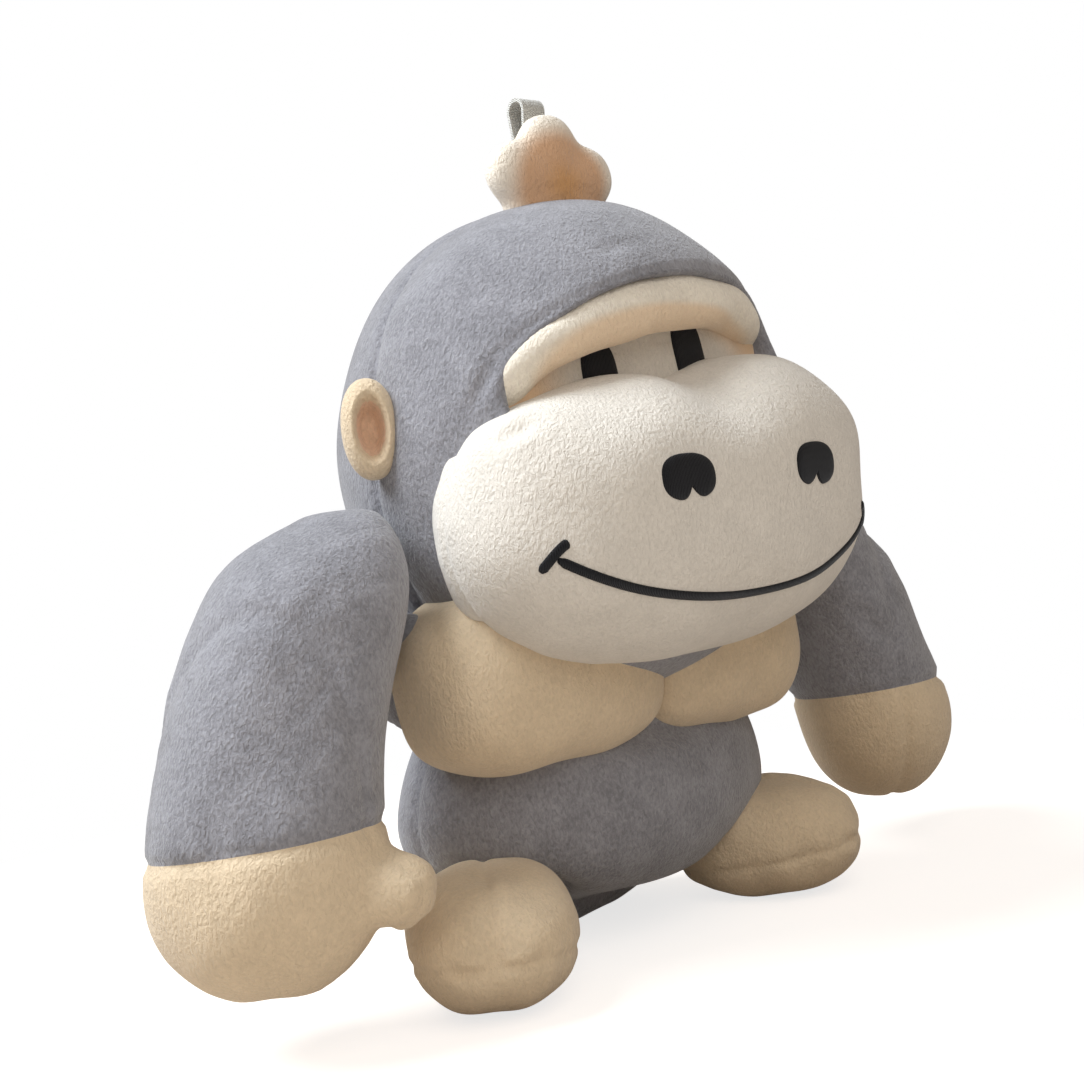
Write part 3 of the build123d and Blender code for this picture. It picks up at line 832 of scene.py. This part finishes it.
class GORILLA_OT_chest(bpy.types.Operator):
    """Fill the two chest pads that meet at a middle seam"""

    bl_idname = "gorilla.chest"
    bl_label = "Chest pads"

    def execute(self, context):
        for side, sign in SIDES:
            pad = round_form(f"chest_{side}")
            places = fuller(points(pad), PAD_HALF[sign], 2.9) + PAD_MIDDLE[sign]
            near = places[:, 0] * sign
            inner = np.exp(-(near / 0.018) ** 2)
            places[:, 2] += PAD_LIFT * inner * step(places[:, 2], 0.100, 0.112)
            places[:, 1] -= 0.92 * np.maximum(places[:, 1] - PAD_BACK_Y, 0)
            places[:, 0] = sign * np.maximum(near, 0.0004 + 0.00006 * np.exp(near * 60))
            place_points(pad, places)
            soften(pad, 0.0006, 0.03, 31 + sign)
            crease(pad, (sign * 0.004, -0.030, 0.100), (sign * 0.016, -0.036, 0.094), 0.0008, 0.0022)
            crease(pad, (sign * 0.003, -0.030, 0.086), (sign * 0.014, -0.034, 0.083), 0.0007, 0.0022)
            complete(pad, "torso", [f"chest_pad_{side}", f"chest_stuffing_{side}"],
                     cream_plush())
        return {"FINISHED"}


# ---- Arms -----------------------------------------------------------------------------
TOE_IN = radians(31.6)
CUFF_TILT = radians(6)
CUFF_MIDDLE = (0.144, -0.0015, 0.066)


SLEEVE_OUT = 0.0042                          # the sleeves are fuller outwards at this height
SLEEVE_Z = 0.140
LEFT_HAND_OUT = 0.0045                       # the left hand hangs further out
ARM_CREASES = {
    1: (((0.098, -0.028, 0.112), (0.126, -0.034, 0.088), 0.0014, 0.0034),
        ((0.100, -0.030, 0.098), (0.118, -0.036, 0.078), 0.0010, 0.0030)),
    -1: (((-0.112, -0.040, 0.070), (-0.122, -0.046, 0.058), 0.0012, 0.0028),
         ((-0.108, -0.034, 0.060), (-0.124, -0.042, 0.050), 0.0010, 0.0026))}


class GORILLA_OT_arms(bpy.types.Operator):
    """Fill the arms: a grey sleeve and a cream hand in one bag, with the thumb joined in on the right
    arm
    """

    bl_idname = "gorilla.arms"
    bl_label = "Arms"

    def execute(self, context):
        sewing = context.scene.gorilla_sewing
        for side, sign in SIDES:
            arm = bag_of(f"arm_{side}_cover", f"arm_stuffing_{side}")
            if sign < 0:
                thumb = bag_of("thumb_form", f"thumb_{side}")
                choose(arm)
                thumb.select_set(True)
                bpy.ops.object.join()
            even_mesh(arm, sewing.voxel)
            cuff = np.array((sign, 1, 1)) * CUFF_MIDDLE
            up = np.array((0, np.sin(CUFF_TILT), np.cos(CUFF_TILT)))
            out = np.array((sign * np.cos(TOE_IN), -np.sin(TOE_IN), 0))
            fill(arm, lambda co: (np.abs((co - cuff) @ up) < 0.0025)
                 | (np.abs((co - cuff) @ out) < 0.0022), sewing.puff * 0.8)
            grow(arm, sewing.cover * 1.2)
            finish_modifier(arm, "SUBSURF", levels=1, render_levels=1)
            sew(arm, cuff, up, seed=41)
            sew(arm, cuff, out, seed=42, depth=0.7)
            soften(arm, 0.0009, 0.04, 43 + sign)
            places = points(arm)
            outer = step(places[:, 0] * sign, 0.108, 0.135)
            shoulder = np.exp(-((places[:, 2] - SLEEVE_Z) / 0.030) ** 2)
            places[:, 0] += sign * SLEEVE_OUT * outer * shoulder
            if sign > 0:
                places[:, 0] += LEFT_HAND_OUT * (1 - step(places[:, 2], 0.050, 0.150))
            place_points(arm, places)
            for start, end, depth, width in ARM_CREASES[sign]:
                crease(arm, start, end, depth, width)
            sleeve = complete(arm, f"arm_{side}", [
                f"arm_outer_panel_{side}", f"arm_inner_panel_{side}", f"hand_outer_panel_{side}",
                f"hand_inner_panel_{side}", f"arm_stuffing_{side}", f"thumb_{side}"],
                grey_plush())
            sleeve.data.materials.append(cream_plush())
            bpy.ops.object.mode_set(mode="EDIT")
            bpy.ops.mesh.select_all(action="SELECT")
            bpy.ops.mesh.bisect(plane_co=cuff, plane_no=up)
            bpy.ops.object.mode_set(mode="OBJECT")
            for face in sleeve.data.polygons:
                face.material_index = int((np.array(face.center) - cuff) @ up < 0)
        return {"FINISHED"}


# ---- Feet -----------------------------------------------------------------------------
FOOT_SPLAY = radians(34)
SOLE_TILT = radians(8)
SOLE_DROP = np.array((0, 0, -0.0065))        # the sole's seam under the foot's middle
FOOT_HALF = (0.0285, 0.0375, 0.0222)
FOOT_MIDDLE = {1: np.array((0.0645, -0.0095, 0.0219)), -1: np.array((-0.0738, -0.0170, 0.0219))}


class GORILLA_OT_feet(bpy.types.Operator):
    """Fill the feet, each with two upper panels and a sole"""

    bl_idname = "gorilla.feet"
    bl_label = "Feet"

    def execute(self, context):
        for side, sign in SIDES:
            splay = sign * FOOT_SPLAY
            middle = FOOT_MIDDLE[sign]
            foot = round_form(f"foot_{side}_cover")
            places = fuller(points(foot), FOOT_HALF, 2.25)
            places[:, 2] = np.maximum(places[:, 2], GROUND - middle[2])
            place_points(foot, turn_z(places, splay) + middle)
            seam = np.array((np.cos(splay), np.sin(splay), 0))
            level = np.array((-np.sin(splay) * np.sin(SOLE_TILT), np.cos(splay) * np.sin(SOLE_TILT),
                              np.cos(SOLE_TILT)))
            sole = middle + SOLE_DROP
            sew(foot, sole, level, seed=51, depth=0.5)
            sew(foot, middle, seam, seed=52, depth=0.5,
                where=lambda co: step((co - sole) @ level, 0.0, 0.003))
            soften(foot, 0.0005, 0.025, 53 + sign)
            for lean in (-1, 1):
                start = sole + turn_z(np.array([[lean * 0.004, -0.034, 0.002]]), splay)[0]
                end = sole + turn_z(np.array([[lean * 0.017, -0.033, 0.008]]), splay)[0]
                crease(foot, start, end, 0.0008, 0.0022)
            places = points(foot)
            places[:, 2] = np.maximum(places[:, 2], GROUND)
            place_points(foot, places)
            complete(foot, f"foot_{side}", [
                f"foot_sole_{side}", f"foot_outer_panel_{side}", f"foot_inner_panel_{side}",
                f"foot_stuffing_{side}"], cream_plush())
        return {"FINISHED"}


# ---- Ears -----------------------------------------------------------------------------
EAR_TURN = radians(28)
EAR_HALF = (0.0094, 0.0082, 0.0168)
EAR_CUP = (0.0064, 0.0128)
EAR_MIDDLE = (0.0855, 0.0020, 0.1890)
LINING_SHARE = 0.42                          # how deep in the cup the lining starts


def lining_finish():
    """Peach pile of the ears' lining."""
    colour = bpy.context.scene.gorilla_fabric.peach
    return once("peach_pile", lambda name: plush(name, colour, flecks=0.5, sheen=0.2))


class GORILLA_OT_ears(bpy.types.Operator):
    """Cup the ears around a peach lining"""

    bl_idname = "gorilla.ears"
    bl_label = "Ears"

    def execute(self, context):
        for side, sign in SIDES:
            ear = round_form(f"ear_{side}_cover", 6)
            ball = points(ear)
            places = fuller(ball, EAR_HALF, 2.15)
            inside = np.hypot(places[:, 0] / EAR_CUP[0], places[:, 2] / EAR_CUP[1])
            front = ball[:, 1] < 0
            cup = (1 - step(inside, 0.35, 1.0)) * front
            places[:, 1] += cup * 0.0105
            places[:, 1] = np.minimum(places[:, 1], np.where(front, 0.0058, 1.0))
            places = turn_z(places, sign * EAR_TURN)
            place_points(ear, places + np.array((sign, 1, 1)) * EAR_MIDDLE)
            piece = complete(ear, f"ear_{side}", [f"ear_back_{side}", f"ear_lining_{side}"],
                             cream_plush())
            piece.data.materials.append(lining_finish())
            for face in piece.data.polygons:
                face.material_index = int(cup[face.vertices[0]] > LINING_SHARE)
        return {"FINISHED"}


# ---- Tuft and loop --------------------------------------------------------------------
TUFT_REACH = 0.0245
TUFT_PLUMP = 0.0078
TUFT_MIDDLE = (-0.0022, (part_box("tuft_front")[0].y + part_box("tuft_back")[1].y) / 2, 0.2700)


def tuft_finish():
    """Pale pile of the tuft with painted shade: a warm, darker middle, so that the pale rim looks lit
    from behind.
    """
    colour = bpy.context.scene.gorilla_fabric.brow

    def painted_shade(finish, place, tone):
        # painted shade: the middle of the tuft darkened and warmed, the rim left pale as if backlit
        reach = distance_from(finish, place, TUFT_MIDDLE, (1 / 0.0255, 0.0, 1 / 0.0235))
        painted_shade_tone = finish.mix(finish.limits(reach, 0.0, 0.5), PAINTED_TUFT_SHADE_DEEP, PAINTED_TUFT_SHADE_SOFT)
        return finish.mix((1 - finish.limits(reach, 0.62, 1.0)) * 0.92, tone, painted_shade_tone)

    return once("tuft_pile_painted_shade", lambda name: plush(name, colour, flecks=0.3, sheen=0.35, painted_shade=painted_shade))


class GORILLA_OT_tuft(bpy.types.Operator):
    """Fill the lobed tuft on the crown"""

    bl_idname = "gorilla.tuft"
    bl_label = "Crown tuft"

    def execute(self, context):
        tuft = round_form("tuft_cover")
        ball = points(tuft)
        angle = np.arctan2(ball[:, 2], ball[:, 0])
        share = np.hypot(ball[:, 0], ball[:, 2])
        five = np.cos(5 * (angle - pi / 2))
        lobes = TUFT_REACH + 0.0024 * five - 0.0004 * np.cos(10 * (angle - pi / 2))
        reach = lobes * (1 - (1 - np.clip(share, 0, 1)) ** 1.25)
        plump = TUFT_PLUMP * np.sign(ball[:, 1]) * np.clip(1 - share ** 2.6, 0, 1) ** 0.5
        plump *= 1 + 0.12 * five * share
        places = np.stack([reach * np.cos(angle) * 1.06, plump, reach * np.sin(angle)], axis=-1)
        place_points(tuft, places + TUFT_MIDDLE)
        finish_modifier(tuft, "SMOOTH", factor=0.5, iterations=4)
        complete(tuft, "tuft", ["tuft_front", "tuft_back", "tuft_stuffing", "tuft_tab"],
                 tuft_finish())
        return {"FINISHED"}


class GORILLA_OT_loop(bpy.types.Operator):
    """Give the hanging loop its woven finish"""

    bl_idname = "gorilla.loop"
    bl_label = "Hanging loop"

    def execute(self, context):
        colour = context.scene.gorilla_fabric.ribbon
        loop = frame["nodes"]["hanging_loop"]
        loop.data.materials.clear()
        loop.data.materials.append(once("woven_ribbon", lambda name: woven_ribbon(name, colour)))
        return {"FINISHED"}


# ---- Stage ----------------------------------------------------------------------------
def floor_finish():
    """Pale paper that keeps the toy's shadow and runs out into white."""
    finish = Finish("pale_paper")
    camera = finish.node("ShaderNodeLightPath", output="Is Camera Ray")
    glossy = finish.node("ShaderNodeLightPath", output="Is Glossy Ray")
    through = finish.node("ShaderNodeLightPath", output="Is Transmission Ray")
    seen = finish.node("ShaderNodeMath", {"operation": "MAXIMUM"}, {0: camera, 1: glossy})
    seen = finish.node("ShaderNodeMath", {"operation": "MAXIMUM"}, {0: seen, 1: through})
    far = finish.limits(distance_from(finish, finish.place(), (0, 0, 0), (1, 1, 0)), 0.22, 0.42)
    finish.set(Base_Color=(0.58, 0.52, 0.46, 1), Roughness=0.9, Specular_IOR_Level=0.0)
    lit = finish.node("ShaderNodeEmission", {}, {"Color": WHITE, "Strength": 0.74})
    white = finish.node("ShaderNodeEmission", {}, {"Color": WHITE, "Strength": 1.0})
    shader = Wire(finish, finish.shader.outputs[0])
    glow = finish.node("ShaderNodeAddShader", {}, {0: shader, 1: lit})
    near = finish.node("ShaderNodeMixShader", {}, {0: seen, 1: shader, 2: glow})
    whole = finish.node("ShaderNodeMixShader", {}, {0: far * seen, 1: near, 2: white})
    output = finish.tree.nodes["Material Output"]
    finish.tree.links.new(whole.socket, output.inputs["Surface"])
    return finish.material


def soft_lamp(name, place, aim, size, power, colour):
    """A round area lamp that points at a place."""
    bpy.ops.object.select_all(action="DESELECT")
    bpy.ops.object.light_add(type="AREA", location=place)
    lamp = bpy.context.object
    lamp.name = name
    lamp.data.shape = "DISK"
    lamp.data.size = size
    lamp.data.energy = power
    lamp.data.color = colour
    lamp.rotation_euler = (Vector(aim) - Vector(place)).to_track_quat("-Z", "Y").to_euler()


class GORILLA_OT_stage(bpy.types.Operator):
    """Set up the floor, the lamps, the surroundings and the camera"""

    bl_idname = "gorilla.stage"
    bl_label = "Stage"

    def execute(self, context):
        studio = context.scene.gorilla_studio
        bpy.ops.object.select_all(action="DESELECT")
        bpy.ops.mesh.primitive_plane_add(size=6.0)
        floor = bpy.context.object
        floor.name = "floor"
        floor.data.materials.append(floor_finish())
        middle = (0, 0, 0.15)
        soft_lamp("window", (-0.85, 0.45, 1.35), middle, 1.0, 34.0, (0.88, 0.94, 1.0))
        soft_lamp("room", (-0.45, -1.15, 1.25), middle, 1.4, 8.0, (1.0, 0.97, 0.93))

        world = bpy.data.worlds.new("white_room")
        world.use_nodes = True
        context.scene.world = world
        tree = world.node_tree
        paths = tree.nodes.new("ShaderNodeLightPath")
        shade = tree.nodes["Background"]
        shade.inputs["Color"].default_value = (1.0, 0.90, 0.80, 1)
        shade.inputs["Strength"].default_value = 0.29
        white = tree.nodes.new("ShaderNodeBackground")
        white.inputs["Color"].default_value = WHITE
        seen = tree.nodes.new("ShaderNodeMath")
        seen.operation = "MAXIMUM"
        tree.links.new(paths.outputs["Is Camera Ray"], seen.inputs[0])
        tree.links.new(paths.outputs["Is Transmission Ray"], seen.inputs[1])
        mix = tree.nodes.new("ShaderNodeMixShader")
        tree.links.new(seen.outputs[0], mix.inputs[0])
        tree.links.new(shade.outputs[0], mix.inputs[1])
        tree.links.new(white.outputs[0], mix.inputs[2])
        tree.links.new(mix.outputs[0], tree.nodes["World Output"].inputs["Surface"])

        data = bpy.data.cameras.new("camera")
        data.lens = studio.lens
        data.sensor_width = 36
        camera = bpy.data.objects.new("camera", data)
        context.scene.collection.objects.link(camera)
        camera.matrix_world = (
            Matrix.Translation(studio.camera_place)
            @ Matrix.Rotation(studio.camera_turn, 4, "Z")
            @ Matrix.Rotation(pi / 2 - studio.camera_fall, 4, "X")
            @ Matrix.Rotation(studio.camera_roll, 4, "Z"))
        context.scene.camera = camera
        context.scene.view_settings.view_transform = "Standard"
        return {"FINISHED"}


class GORILLA_PT_panel(bpy.types.Panel):
    """The steps and settings of the plush gorilla"""

    bl_idname = "GORILLA_PT_panel"
    bl_label = "Plush gorilla"
    bl_space_type = "VIEW_3D"
    bl_region_type = "UI"
    bl_category = "Plush"

    def draw(self, context):
        column = self.layout.column()
        for operator in STEPS:
            column.operator(operator.bl_idname)
        for group in (context.scene.gorilla_fabric, context.scene.gorilla_sewing,
                      context.scene.gorilla_studio):
            for name in group.bl_rna.properties.keys():
                if name not in ("rna_type", "name"):
                    column.prop(group, name)


STEPS = (GORILLA_OT_stage, GORILLA_OT_head, GORILLA_OT_face, GORILLA_OT_muzzle, GORILLA_OT_torso,
         GORILLA_OT_chest, GORILLA_OT_arms, GORILLA_OT_feet, GORILLA_OT_ears, GORILLA_OT_tuft,
         GORILLA_OT_loop)
CLASSES = (FabricSettings, SewingSettings, StudioSettings) + STEPS + (GORILLA_PT_panel,)


def register():
    for item in CLASSES:
        bpy.utils.register_class(item)
    bpy.types.Scene.gorilla_fabric = PointerProperty(type=FabricSettings)
    bpy.types.Scene.gorilla_sewing = PointerProperty(type=SewingSettings)
    bpy.types.Scene.gorilla_studio = PointerProperty(type=StudioSettings)


def unregister():
    del bpy.types.Scene.gorilla_studio
    del bpy.types.Scene.gorilla_sewing
    del bpy.types.Scene.gorilla_fabric
    for item in reversed(CLASSES):
        bpy.utils.unregister_class(item)


def main():
    register()
    bpy.ops.gorilla.stage()
    bpy.ops.gorilla.head()
    bpy.ops.gorilla.face()
    bpy.ops.gorilla.muzzle()
    bpy.ops.gorilla.torso()
    bpy.ops.gorilla.chest()
    bpy.ops.gorilla.arms()
    bpy.ops.gorilla.feet()
    bpy.ops.gorilla.ears()
    bpy.ops.gorilla.tuft()
    bpy.ops.gorilla.loop()


if __name__ == "__main__":
    main()
